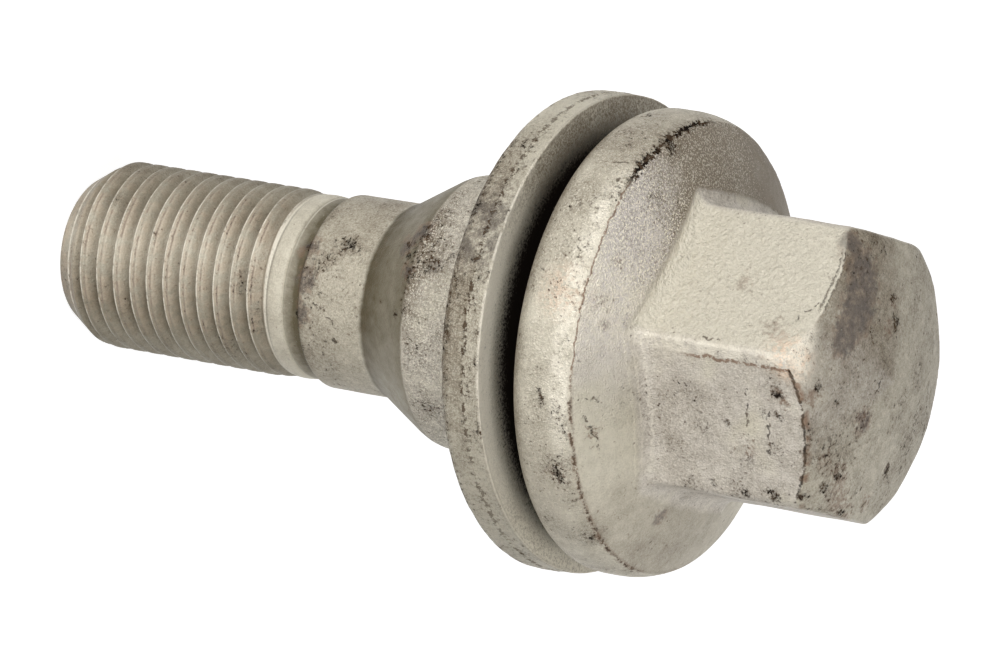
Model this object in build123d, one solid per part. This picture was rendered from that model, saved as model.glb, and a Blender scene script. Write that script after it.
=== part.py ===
from build123d import *
from math import cos, pi, sqrt, tan, radians
import os

# Wheel bolt with a captive washer, standing head up on its thread end.
# Millimetres. Z is the bolt's axis, and z = 0 is the flat face of the thread end.

# Threaded end: a plain cylinder at the major diameter of the thread
thread_diameter = 11.86
thread_length = 13.25
point_length = 2.07
point_angle = 32.0

# Rolled relief between the last crest and the plain shank
relief_diameter = 11.40
relief_entry_length = 0.50
relief_length = 1.73
relief_exit_length = 1.10

# Plain shank, and the locating cone that widens it to the shoulder
shank_diameter = 12.20
shank_length = 4.80
cone_half_angle = 30.0
cone_foot_radius = 2.10
cone_top_radius = 2.40

# Shoulder, and the lip that keeps the washer on the neck
shoulder_diameter = 17.18
shoulder_length = 4.84
lip_height = 1.00
lip_overlap = 0.20

# Captive washer, and its play on the neck
washer_diameter = 29.64
washer_thickness = 2.90
washer_seat_edge_chamfer = 0.65
washer_bore_chamfer = 0.30
washer_radial_play = 0.45
washer_axial_play = 2.18

# Neck under the flange
neck_diameter = 16.60

# Flange: rounded underside edge, short upright rim, sloping brow up to the crease, domed top
flange_diameter = 28.58
flange_underside_radius = 1.57
rim_height = 2.52
brow_height = 1.82
crease_diameter = 27.70
dome_radius = 28.0

# Hexagon: sharp at its foot, with corners that a slight cone trims more and more towards the end
hex_across_flats = 17.0
hex_root_radius = 0.90
hex_height = 12.73
corner_trim_diameter = 19.26
corner_trim_length = 7.85
crown_chamfer_height = 0.90
crown_edge_diameter = 17.28
crown_radius = 28.0

# Sizes that follow from the ones above
washer_bore_diameter = neck_diameter + 2 * washer_radial_play
lip_diameter = washer_bore_diameter + 2 * lip_overlap
neck_length = washer_thickness + washer_axial_play
hex_corner_diameter = hex_across_flats / cos(pi / 6)


def cap_height(sphere_radius, edge_diameter):
    """Height of a spherical cap over the plane of its edge circle."""
    return sphere_radius - sqrt(sphere_radius**2 - (edge_diameter / 2) ** 2)


# Heights up the axis, from the thread end
z_thread = point_length
z_relief_entry = z_thread + thread_length
z_relief = z_relief_entry + relief_entry_length
z_relief_exit = z_relief + relief_length
z_shank = z_relief_exit + relief_exit_length
z_cone = z_shank + shank_length
z_shoulder = z_cone + (shoulder_diameter - shank_diameter) / 2 / tan(radians(cone_half_angle))
z_lip = z_shoulder + shoulder_length
z_neck = z_lip + lip_height
z_washer = z_neck + washer_axial_play / 2
z_flange = z_neck + neck_length
z_brow = z_flange + rim_height
z_crease = z_brow + brow_height
z_dome_top = z_crease + cap_height(dome_radius, crease_diameter)
z_crown_edge = z_crease + hex_height
z_corner_trim = z_crown_edge - crown_chamfer_height
z_crown_top = z_crown_edge + cap_height(crown_radius, crown_edge_diameter)


def shaft_corners():
    """Corners of the turned outline from the thread end up to the flange's upright rim."""
    point_radius = thread_diameter / 2 - point_length * tan(radians(point_angle))
    lip_lead = (lip_diameter - shoulder_diameter) / 2
    return [
        # (radius, height, rounding of the corner)
        (point_radius, 0, 0),
        (thread_diameter / 2, z_thread, 0),
        (thread_diameter / 2, z_relief_entry, 0),
        (relief_diameter / 2, z_relief, 0),
        (relief_diameter / 2, z_relief_exit, 0),
        (shank_diameter / 2, z_shank, 0),
        (shank_diameter / 2, z_cone, cone_foot_radius),
        (shoulder_diameter / 2, z_shoulder, cone_top_radius),
        (shoulder_diameter / 2, z_lip, 0),
        (lip_diameter / 2, z_lip + lip_lead, 0),
        (lip_diameter / 2, z_neck, 0),
        (neck_diameter / 2, z_neck, 0),
        (neck_diameter / 2, z_flange, 0),
        (flange_diameter / 2, z_flange, flange_underside_radius),
        (flange_diameter / 2, z_brow, 0),
    ]


def domed(solid, sphere_radius, top):
    """Solid with its end cut to a dome round Z. The sphere's poles lie sideways, clear of the dome."""
    reach = 2 * sphere_radius
    room = Cylinder(reach, reach, align=(Align.CENTER, Align.CENTER, Align.MIN))
    return solid - Pos(Z=top - sphere_radius) * (room - Rot(Y=90) * Sphere(sphere_radius))


def turned_blank():
    """Everything below the hexagon, closed over by the flange's dome."""
    corners = shaft_corners()
    points = [(radius, height) for radius, height, rounding in corners]
    roundings = [rounding for radius, height, rounding in corners[1:-1]]
    crease = (crease_diameter / 2, z_crease)
    with BuildPart() as blank:
        with BuildSketch(Plane.XZ):
            with BuildLine():
                FilletPolyline(*points, radius=roundings)
                TangentArc(points[-1], crease, tangent=(0, 1))
                Polyline(crease, (crease[0], z_dome_top), (0, z_dome_top), (0, 0), points[0])
            make_face()
        revolve(axis=Axis.Z)
    return domed(blank.part, dome_radius, z_dome_top)


def corner_trim():
    """Turned envelope that trims the hexagon's corners and chamfers its end."""
    trim_radius = corner_trim_diameter / 2
    trim_slope = (hex_corner_diameter / 2 - trim_radius) / corner_trim_length
    foot_radius = trim_radius + trim_slope * (z_corner_trim - z_flange)
    edge_radius = crown_edge_diameter / 2
    chamfer_slope = crown_chamfer_height / (trim_radius - edge_radius)
    with BuildPart() as envelope:
        with BuildSketch(Plane.XZ):
            with BuildLine():
                Polyline(
                    (0, z_flange),
                    (foot_radius, z_flange),
                    (trim_radius, z_corner_trim),
                    (0, z_crown_edge + chamfer_slope * edge_radius),
                    close=True,
                )
            make_face()
        revolve(axis=Axis.Z)
    return envelope.part


def hexagon():
    """Wrench hexagon with two corners on the X axis, from inside the flange to its crown."""
    with BuildPart() as prism:
        with BuildSketch(Plane.XY.offset(z_flange)):
            RegularPolygon(radius=hex_across_flats / 2, side_count=6, major_radius=False)
        extrude(amount=z_crown_top - z_flange)
    return domed(prism.part & corner_trim(), crown_radius, z_crown_top)


def bolt():
    """One forging: the hexagon grows out of the dome on six rounded roots."""
    forging = turned_blank() + hexagon()
    roots = forging.edges().filter_by_position(Axis.Z, z_crease + hex_root_radius, z_dome_top)
    return fillet(roots, hex_root_radius)


def captive_washer():
    """Pressed washer, bevelled on its seat side, loose on the neck with equal play each side."""
    bore_radius = washer_bore_diameter / 2
    rim_radius = washer_diameter / 2
    with BuildPart() as washer:
        with BuildSketch(Plane.XZ):
            with Locations((bore_radius, z_washer)):
                Rectangle(rim_radius - bore_radius, washer_thickness, align=(Align.MIN, Align.MIN))
        revolve(axis=Axis.Z)
        circles = washer.edges().filter_by(GeomType.CIRCLE).sort_by(SortBy.RADIUS)
        bore_edges, rim_edges = circles[:2], circles[2:]
        chamfer(bore_edges, washer_bore_chamfer)
        chamfer(rim_edges.sort_by(Axis.Z)[0], washer_seat_edge_chamfer)
    return washer.part


os.makedirs("parts", exist_ok=True)
for node, shape in {"bolt": bolt(), "captive_washer": captive_washer()}.items():
    export_step(shape, f"parts/{node}.step")
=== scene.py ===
from math import atan2, ceil, cos, pi, radians, sin, sqrt, tan

import bpy
import numpy as np
from bpy.props import FloatProperty, FloatVectorProperty, PointerProperty
from mathutils import Matrix, Vector, noise


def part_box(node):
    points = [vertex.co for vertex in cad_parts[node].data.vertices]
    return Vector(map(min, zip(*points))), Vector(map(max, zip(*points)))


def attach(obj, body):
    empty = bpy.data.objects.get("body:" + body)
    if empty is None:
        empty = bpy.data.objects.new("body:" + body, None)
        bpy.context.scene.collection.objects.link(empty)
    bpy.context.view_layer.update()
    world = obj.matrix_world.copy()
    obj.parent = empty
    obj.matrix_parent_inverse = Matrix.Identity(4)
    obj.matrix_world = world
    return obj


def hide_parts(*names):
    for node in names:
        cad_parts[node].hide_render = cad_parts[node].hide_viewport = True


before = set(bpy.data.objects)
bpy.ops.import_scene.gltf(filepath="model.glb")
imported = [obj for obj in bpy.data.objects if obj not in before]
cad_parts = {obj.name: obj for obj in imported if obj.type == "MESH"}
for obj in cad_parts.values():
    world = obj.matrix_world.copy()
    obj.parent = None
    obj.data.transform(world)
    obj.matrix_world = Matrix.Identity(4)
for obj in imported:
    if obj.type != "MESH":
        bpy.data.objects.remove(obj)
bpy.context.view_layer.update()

bl_info = {
    "name": "Wheel Bolt",
    "version": (1, 0, 0),
    "blender": (4, 5, 0),
    "location": "3D View > Sidebar > Wheel Bolt",
    "description": "Builds the looks of a coated wheel bolt with a loose washer round its frame",
    "category": "Object",
}

MM = 0.001

# The outline's sizes are millimetres. Radii are from the bolt's axis and heights from the thread end.
BOLT_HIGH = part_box("bolt")[1] / MM
WASHER_LOW, WASHER_HIGH = (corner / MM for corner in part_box("captive_washer"))
WASHER_HALF = (WASHER_HIGH.z - WASHER_LOW.z) / 2
WASHER_MIDDLE = (WASHER_HIGH.z + WASHER_LOW.z) / 2
WASHER_BORE_RADIUS = 8.75

THREAD_RADIUS = 5.93
POINT_LENGTH = 2.07
POINT_ANGLE = radians(32)
THREAD_TOP = 15.32

RELIEF_RADIUS = 5.70
RELIEF_TOP = 17.55

SHANK_RADIUS = 6.10
SHANK_BOTTOM = 18.65
SHANK_TOP = 23.45
CONE_FOOT_ROUNDING = 2.10

SHOULDER_RADIUS = 8.59
SHOULDER_BOTTOM = 27.763
SHOULDER_TOP = 32.603
CONE_TOP_ROUNDING = 2.40

LIP_RADIUS = 8.95
LIP_TOP = 33.603
NECK_RADIUS = 8.30

FLANGE_RADIUS = BOLT_HIGH.x
FLANGE_BOTTOM = 38.683
FLANGE_UNDERSIDE_ROUNDING = 1.57
BROW_BOTTOM = 41.203
CREASE_RADIUS = 13.85
CREASE_HEIGHT = 43.023
DOME_RADIUS = 28.0

HEX_HALF_WIDTH = 8.50
HEX_ROOT_ROUNDING = 0.90
CORNER_TRIM_RADIUS = 9.63
CORNER_TRIM_LENGTH = 7.85
CHAMFER_BOTTOM = 54.853
CROWN_EDGE_RADIUS = 8.64
CROWN_EDGE_HEIGHT = 55.753
CROWN_RADIUS = 28.0
CROWN_TOP = BOLT_HIGH.z

# Reach of the soft change from a flat to its trimmed corner, and from the chamfer to the crown
TRIM_BLEND = 0.04
CROWN_BLEND = 0.06

# The thread: turns from +X to a crest, rows a pitch, angle of a flank, and the first row's height
CREST_PHASE = 0.30
ROWS_A_PITCH = 16
FLANK_ANGLE = radians(30)
FIRST_ROW = 0.55

# The lapped seam in a crest, in turns, and the smooth ring over the thread with its groove
SEAM_PLACE = 0.02
SEAM_WIDTH = 0.04
RING_BOTTOM = THREAD_TOP + 0.8
RING_LENGTH = 1.2
RING_SWELL = 0.05
RING_GROOVE = THREAD_TOP + 1.04

# The rounded thread end
END_EDGE_ROUNDING = 0.35
END_EDGE_TOP = 0.45

# Rows over the dome, the hexagon's roots, its sides, its end edge and the crown
DOME_ROWS = 11
ROOT_ROWS = 7
SIDE_ROWS = 27
EDGE_ROWS = 5
CROWN_ROWS = 16


# ---------------------------------------------------------------- properties


def length(name, description, millimetres, **limits):
    default = millimetres * MM
    return FloatProperty(name=name, description=description, default=default, unit="LENGTH", **limits)


def angle(name, description, degrees):
    return FloatProperty(name=name, description=description, default=radians(degrees), subtype="ANGLE")


def fraction(name, description, default):
    return FloatProperty(
        name=name, description=description, default=default, min=0, max=1, subtype="FACTOR"
    )


def light_level(name, description, default):
    return FloatProperty(name=name, description=description, default=default, min=0)


def tint(name, description, default):
    return FloatVectorProperty(
        name=name, description=description, default=default, subtype="COLOR", size=3, min=0, max=1
    )


class BoltShape(bpy.types.PropertyGroup):
    """Sizes of the bolt's fine form."""

    pitch: length("Thread pitch", "Advance of the thread in one turn", 1.25, min=0.5 * MM)
    thread_depth: length("Thread depth", "From a crest down to a root", 0.52, min=0.1 * MM)
    crest_width: length("Crest width", "Width of the rolled crest, with its rounded shoulders", 0.60)
    seam_depth: length("Crest seam depth", "Depth of the lap that rolling leaves along the crest", 0.05)
    corner_rounding: length("Corner rounding", "Radius of the hexagon's six upright corners", 0.35)
    edge_rounding: length("Edge rounding", "Reach of the soft edge between the flats and the crown", 0.28)
    crease_depth: length("Crease depth", "Depth of the crease between the flange's brow and dome", 0.12)
    unevenness: length("Forging unevenness", "Height of the slow waves that forging leaves", 0.05)


class WasherShape(bpy.types.PropertyGroup):
    """Sizes of the washer's fine form, and how it hangs on the neck."""

    lean: angle("Lean", "Tilt of the loose washer on the neck", 2.6)
    edge_roll: length("Edge roll", "Radius that pressing leaves on the seat side of the rim", 0.75)
    break_width: length("Break width", "Width of the rim's broken band, next to the back edge", 1.06)
    break_step: length("Break step", "How far the broken band stands in from the sheared one", 0.05)
    edge_rounding: length("Back edge rounding", "Reach of the crisp edge of the back face", 0.12)


class Coating(bpy.types.PropertyGroup):
    """Colours of the flake coating and of what has happened to it, and of the painted light and shade on
    it.
    """

    coat: tint("Coat", "Fresh, matte flake coating", (0.66, 0.61, 0.49))
    # Also the colour of painted shade on the sides turned from the light
    thin_coat_and_shade: tint("Thin coat", "Where the steel shows through the coating", (0.19, 0.149, 0.097))
    # Also the colour of painted shade on the shaded sides, in the thread's hollows and on the cone
    film_and_shade: tint("Film", "Brown film of oil and dust", (0.084, 0.065, 0.027))
    # Also black painted shade, at the neck between washer and flange and on the washer's back face towards
    # it
    grime_and_shade: tint("Grime", "Dirt in hollows and pits", (0.012, 0.009, 0.007))
    dust: tint("Brown dirt", "Drier, browner dirt", (0.075, 0.050, 0.032))
    rust: tint("Rust", "Brown stain along cracks and edges", (0.20, 0.115, 0.065))
    # Colour of the painted highlights, and of the flakes' painted glints
    painted_highlight: tint("Rubbed metal", "Bright spots on edges", (0.88, 0.82, 0.69))
    bare: tint("Bare grey", "Satin grey where little coating is left", (0.665, 0.61, 0.57))
    # Also painted shade in the thread's hollows
    soot_and_shade: tint("Soot", "Soft dark smudges", (0.086, 0.070, 0.056))
    # Also a painted warm highlight on the lit corner and on the brow
    glow: tint("Warm corner", "Worn and warm-coloured corner of the hexagon", (0.86, 0.66, 0.49))
    metallic: fraction("Metallic share", "How much of the coat is metal flake", 0.10)
    roughness: fraction("Roughness", "Roughness of the coat", 0.50)


class Stage(bpy.types.PropertyGroup):
    """Camera, lights and floor."""

    view_azimuth: angle("View azimuth", "Turn of the camera about the bolt's axis", 32.5)
    view_elevation: angle("View elevation", "Height of the camera over the floor", 29.92)
    view_roll: angle("View roll", "Turn of the camera about its own line of sight", 99.62)
    view_distance: length("View distance", "From the camera to the aim, along the view", 410.27)
    lens: FloatProperty(
        name="Focal length", description="Lens of the camera, in millimetres", default=240.8, unit="CAMERA"
    )
    aim: FloatVectorProperty(
        name="Aim", description="Point of the axis that the camera is set up on",
        default=(0, 0, 32.184 * MM), subtype="XYZ", size=3, unit="LENGTH",
    )
    offset: FloatVectorProperty(
        name="Aim offset", description="Where the aim lies in the picture, right and up of its middle",
        default=(2.081 * MM, 0.682 * MM), size=2, unit="LENGTH",
    )
    ambient: fraction("Ambient light", "Strength of the even light from all round", 0.26)
    key: light_level("Key light", "Light level of the main lamp at the bolt", 0.86)
    side: light_level("Side light", "Light level of the lamp on the side of the head", 0.20)
    fill: light_level("Back light", "Light level of the lamp behind the bolt", 0.25)
    floor: tint("Floor", "Colour of the floor under the bolt", (0.55, 0.55, 0.55))


# ---------------------------------------------------------------- shader maths


def arithmetic(operation):
    """The two methods of an operator: a value on its left, and the reflected form."""

    def forward(value, other):
        return value.nodes.math(operation, value, other)

    def reflected(value, other):
        return value.nodes.math(operation, other, value)

    return forward, reflected


class Value:
    """An output of a node, with arithmetic that adds the nodes it needs."""

    __add__, __radd__ = arithmetic("ADD")
    __sub__, __rsub__ = arithmetic("SUBTRACT")
    __mul__, __rmul__ = arithmetic("MULTIPLY")
    __truediv__, __rtruediv__ = arithmetic("DIVIDE")

    def __init__(self, nodes, socket):
        self.nodes = nodes
        self.socket = socket

    def __abs__(self):
        return self.nodes.math("ABSOLUTE", self)

    def sway(self, amount):
        """A noise of 0 to 1 moved to swing about 0, over the amount in all."""
        return (self - 0.5) * amount

    def ramp(self, low, high):
        """0 below low and 1 above high, with a soft ramp between; low may be above high."""
        inputs = {0: self, 1: min(low, high), 2: max(low, high)}
        rising = self.nodes.node("ShaderNodeMapRange", {"interpolation_type": "SMOOTHSTEP"}, inputs)
        return rising if low < high else 1 - rising

    def band(self, low, high, soft):
        """1 between low and high and 0 outside, with soft ends."""
        return self.ramp(low - soft, low + soft) * self.ramp(high + soft, high - soft)


class NodeTree:
    """The nodes of a new material or world."""

    def __init__(self, holder):
        holder.use_nodes = True
        self.holder = holder
        self.tree = holder.node_tree
        self.tree.nodes.clear()

    def link(self, value, socket):
        """Puts a value, a number or a colour on a socket."""
        if isinstance(value, Value):
            self.tree.links.new(value.socket, socket)
        elif socket.type == "RGBA" and len(value) == 3:
            socket.default_value = (*value, 1)
        else:
            socket.default_value = value

    def node(self, kind, settings, inputs, output=0):
        """Adds a node with its settings and inputs, and returns one of its outputs."""
        made = self.tree.nodes.new(kind)
        for name, value in settings.items():
            setattr(made, name, value)
        for key, value in inputs.items():
            self.link(value, made.inputs[key])
        return Value(self, made.outputs[output]) if made.outputs else None

    def math(self, operation, *inputs):
        return self.node("ShaderNodeMath", {"operation": operation}, dict(enumerate(inputs)))

    def largest(self, first, *others):
        """The largest of some numbers."""
        for other in others:
            first = self.math("MAXIMUM", first, other)
        return first

    def blend(self, factor, first, second):
        """Colour between first and second."""
        settings = {"data_type": "RGBA", "clamp_factor": True}
        return self.node("ShaderNodeMix", settings, {0: factor, 6: first, 7: second}, 2)

    def grain(self, vector, scale, detail, roughness):
        """Noise from 0 to 1; scale is waves in a millimetre where vector is in millimetres."""
        inputs = {"Vector": vector, "Scale": scale, "Detail": detail, "Roughness": roughness}
        return self.node("ShaderNodeTexNoise", {}, inputs)


class MeshNumbers:
    """The numbers that a mesh holds at each point, each read by its own name."""

    def __init__(self, nodes):
        self.nodes = nodes

    def __getattr__(self, name):
        return self.nodes.node("ShaderNodeAttribute", {"attribute_name": name}, {}, "Fac")


# ---------------------------------------------------------------- outlines


def softly_less(first, second, reach):
    """The smaller of two arrays, with a rounded change from one to the other."""
    near = np.clip(0.5 + (second - first) / (2 * reach), 0, 1)
    return second * (1 - near) + first * near - reach * near * (1 - near)


def ramp(value, low, high):
    """Smooth step from 0 at low to 1 at high."""
    step = np.clip((value - low) / (high - low), 0, 1)
    return step * step * (3 - 2 * step)


def rounded_outline(corners):
    """Points along straight runs with rounded corners.

    A corner is (radius, height, rounding, gap); gap is the spacing of points on the run after it.
    """
    places = [Vector(corner[:2]) for corner in corners]
    points = [places[0]]
    for index in range(1, len(corners)):
        gap = corners[index - 1][3]
        place = places[index]
        arc = [place]
        if index < len(corners) - 1 and corners[index][2] > 0:
            arc = corner_arc(places[index - 1], place, places[index + 1], corners[index][2])
        run = arc[0] - points[-1]
        count = max(1, ceil(run.length / gap))
        points += [points[-1] + run * step / count for step in range(1, count)]
        points += arc
    return [(point.x, point.y) for point in points]


def corner_arc(before, corner, after, rounding, step=radians(11)):
    """Points of the arc that rounds a corner."""
    arriving = (corner - before).normalized()
    leaving = (after - corner).normalized()
    turn = arriving.angle(leaving)
    reach = rounding * tan(turn / 2)
    start = corner - arriving * reach
    side = 1 if arriving.x * leaving.y > arriving.y * leaving.x else -1
    normal = Vector((-arriving.y, arriving.x)) * side
    centre = start + normal * rounding
    count = max(2, ceil(turn / step))
    swings = [turn * index / count for index in range(count + 1)]
    return [centre + (arriving * sin(swing) - normal * cos(swing)) * rounding for swing in swings]


def dome_height(radius):
    """Height of the flange's domed top."""
    centre = CREASE_HEIGHT - sqrt(DOME_RADIUS**2 - CREASE_RADIUS**2)
    return centre + np.sqrt(DOME_RADIUS**2 - radius**2)


def crown_height(radius):
    """Height of the head's end: a chamfer outside and a dome inside."""
    dome = CROWN_TOP - CROWN_RADIUS + np.sqrt(CROWN_RADIUS**2 - radius**2)
    slope = (CROWN_EDGE_HEIGHT - CHAMFER_BOTTOM) / (CORNER_TRIM_RADIUS - CROWN_EDGE_RADIUS)
    chamfer = CROWN_EDGE_HEIGHT - slope * (radius - CROWN_EDGE_RADIUS)
    return softly_less(dome, chamfer, CROWN_BLEND)


def hexagon_radius(turns, height, corner_rounding):
    """Distance of the hexagon's side from the axis, with corners on X rounded and trimmed."""
    off_corner = np.abs((turns + pi / 6) % (pi / 3) - pi / 6)
    flat = HEX_HALF_WIDTH / np.cos(pi / 6 - off_corner)
    centre = (HEX_HALF_WIDTH - corner_rounding) / cos(pi / 6)
    inside = np.maximum(corner_rounding**2 - (centre * np.sin(off_corner)) ** 2, 0)
    arc = centre * np.cos(off_corner) + np.sqrt(inside)
    touch = atan2(corner_rounding / 2, centre + corner_rounding * cos(pi / 6))
    prism = np.where(off_corner < touch, arc, flat)
    slope = (HEX_HALF_WIDTH / cos(pi / 6) - CORNER_TRIM_RADIUS) / CORNER_TRIM_LENGTH
    trim = CORNER_TRIM_RADIUS + slope * (CHAMFER_BOTTOM - height)
    return softly_less(prism, trim, TRIM_BLEND)


def bent(start, middle, end, rows):
    """Rows between two arrays of points, rounded towards a third."""
    shares = np.linspace(0, 1, rows + 2)[1:-1, None]
    return [
        (1 - shares) ** 2 * start[axis] + 2 * shares * (1 - shares) * middle[axis] + shares**2 * end[axis]
        for axis in (0, 1)
    ]


# ---------------------------------------------------------------- meshes


def corner_columns(per_side=36, crowding=0.32):
    """Directions round the axis, closer together at the hexagon's corners."""
    steps = np.linspace(-1, 1, per_side + 1)[:-1]
    side = radians(30) * (crowding * steps + (1 - crowding) * steps**3)
    return np.concatenate([side + radians(60) * corner for corner in range(6)])


def placed(radius, height, turns):
    """Grid of points from radii and heights, in millimetres."""
    return np.stack([radius * np.cos(turns), radius * np.sin(turns), height + 0 * turns], axis=-1)


def grid_normals(points, closed_rows=False):
    """Outward unit normals of a grid whose rows run up the outside and whose columns go round."""
    round_way = np.roll(points, -1, axis=1) - np.roll(points, 1, axis=1)
    if closed_rows:
        up_way = np.roll(points, -1, axis=0) - np.roll(points, 1, axis=0)
    else:
        up_way = np.gradient(points, axis=0)
    normals = np.cross(round_way, up_way)
    lengths = np.linalg.norm(normals, axis=-1, keepdims=True)
    return normals / np.maximum(lengths, 1e-12)


def waves(points, wavelength, octaves, shift=0.0):
    """Noise about 0 at each point of a grid, with the given wavelength in millimetres."""
    flat = points.reshape(-1, 3) / wavelength + shift
    values = [noise.fractal(Vector(point), 1.0, 2.0, octaves) for point in flat]
    return np.array(values).reshape(points.shape[:-1])


def grid_mesh(name, points, numbers, poles=()):
    """Smooth mesh of a grid that closes round the axis.

    Two poles close its ends; without them the last row joins the first. Numbers are held at its points.
    """
    rows, columns = points.shape[:2]
    row_count = rows - 1 if poles else rows
    row, column = np.meshgrid(np.arange(row_count), np.arange(columns), indexing="ij")
    above = (row + 1) % rows
    beside = (column + 1) % columns
    quad = ((row, column), (row, beside), (above, beside), (above, column))
    corners = [up * columns + along for up, along in quad]
    faces = np.stack(corners, axis=-1).reshape(-1, 4).tolist()
    vertices = points.reshape(-1, 3)
    if poles:
        low_pole = len(vertices)
        high_pole = low_pole + 1
        top = (rows - 1) * columns
        vertices = np.concatenate([vertices, np.array(poles)])
        faces += [[low_pole, (index + 1) % columns, index] for index in range(columns)]
        faces += [[high_pole, top + index, top + (index + 1) % columns] for index in range(columns)]
    mesh = bpy.data.meshes.new(name)
    mesh.from_pydata((vertices * MM).tolist(), [], faces)
    for key, values in numbers.items():
        flat = values.reshape(-1)
        if poles:
            flat = np.concatenate([flat, [flat[0], flat[-1]]])
        layer = mesh.attributes.new(key, "FLOAT", "POINT")
        layer.data.foreach_set("value", flat.astype(np.float32))
    mesh.validate()
    mesh.shade_smooth()
    return mesh


def add_object(name, data):
    holder = bpy.data.objects.new(name, data)
    bpy.context.scene.collection.objects.link(holder)
    return holder


def add_piece(name, mesh, body, node, material):
    """Puts a finished mesh in the scene, on its body and in place of its CAD solid."""
    mesh.materials.append(material)
    piece = add_object(name, mesh)
    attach(piece, body)
    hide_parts(node)


def on_surface(turn, radius, height):
    """Point from a turn in degrees, a radius and a height, in millimetres."""
    return Vector((radius * cos(radians(turn)), radius * sin(radians(turn)), height))


class Ground:
    """What the form, the thinning of the coat, the painted light and shade, and the dirt of a grid of
    points depend on.
    """

    def __init__(self, points, corner_rounding=0):
        self.points = points
        self.turns = np.arctan2(points[..., 1], points[..., 0])
        self.radius = np.linalg.norm(points[..., :2], axis=-1)
        self.height = points[..., 2]
        off_corner = (self.turns + pi / 6) % (pi / 3) - pi / 6
        foot = hexagon_radius(self.turns, CREASE_HEIGHT, corner_rounding)
        side = hexagon_radius(self.turns, CHAMFER_BOTTOM, corner_rounding)
        past_crease = (self.height - CREASE_HEIGHT) + (CREASE_RADIUS - self.radius)
        past_crease[self.height < BROW_BOTTOM] = -2
        self.past_crease = np.clip(past_crease, -2, 2)
        self.from_root = np.clip(self.radius - foot - HEX_ROOT_ROUNDING, -2, 2)
        self.past_end = np.clip((self.height - crown_height(side)) + (side - self.radius), -3, 3)
        self.from_corner = off_corner * self.radius

    def side(self, turn, spread, soft):
        """1 on the side within spread of a turn in degrees, and 0 past it."""
        off = np.abs((np.degrees(self.turns) - turn + 180) % 360 - 180)
        return 1 - ramp(off, spread - soft, spread + soft)

    def band(self, low, high, soft=0.2):
        """1 between two heights, and 0 outside."""
        return ramp(self.height, low - soft, low + soft) * (1 - ramp(self.height, high - soft, high + soft))

    def patches(self, places):
        """1 at the middle of each place, (turn, radius, height, reach), and 0 at its reach."""
        total = np.zeros_like(self.radius)
        for turn, radius, height, reach in places:
            away = np.linalg.norm(self.points - np.array(on_surface(turn, radius, height)), axis=-1)
            total += 1 - ramp(away, reach * 0.15, reach * 1.15)
        return total


# ---------------------------------------------------------------- the bolt


def thread_fall(off_crest, half_crest, flank):
    """0 on a crest and 1 at a root; the side ahead of the seam falls later than the other."""
    ahead = (np.abs(off_crest) - half_crest * 0.95) / flank
    behind = (np.abs(off_crest) - half_crest * 0.55) / (flank + half_crest * 0.45)
    fall = softly_less(np.where(off_crest < 0, ahead, behind), 1, 0.12)
    return -softly_less(-fall, 0, 0.08)


def thread_rows(shape, turns):
    """Rows of the threaded end, from its rounded end edge to the smooth ring over the thread."""
    pitch = shape.pitch / MM
    depth = shape.thread_depth / MM
    heights = np.arange(FIRST_ROW, RELIEF_TOP - 0.25, pitch / ROWS_A_PITCH)[:, None]
    off_crest = (heights / pitch - turns / (2 * pi) - CREST_PHASE + 0.5) % 1 - 0.5
    fall = thread_fall(off_crest, shape.crest_width / shape.pitch / 2, depth * tan(FLANK_ANGLE) / pitch)
    seam = np.exp(-(((off_crest - SEAM_PLACE) / SEAM_WIDTH) ** 2)) * shape.seam_depth / MM
    run_out = 1 - ramp(heights, THREAD_TOP - 0.10, THREAD_TOP + 1.10)
    swell = np.sin(np.clip((heights - RING_BOTTOM) / RING_LENGTH, 0, 1) * pi)
    groove = np.exp(-(((heights - RING_GROOVE) / 0.05) ** 2))
    narrowing = (THREAD_RADIUS - RELIEF_RADIUS - 0.05) * ramp(heights, 14.6, 16.2)
    body = THREAD_RADIUS - narrowing + RING_SWELL * (swell - groove)
    point = THREAD_RADIUS - (POINT_LENGTH - heights) * tan(POINT_ANGLE)
    radius = softly_less(body - (depth * fall + seam) * run_out, point + 0 * turns, 0.10)
    hollow = fall * run_out * ramp(heights, 1.0, 2.2)
    return radius, heights + 0 * turns, hollow


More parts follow.
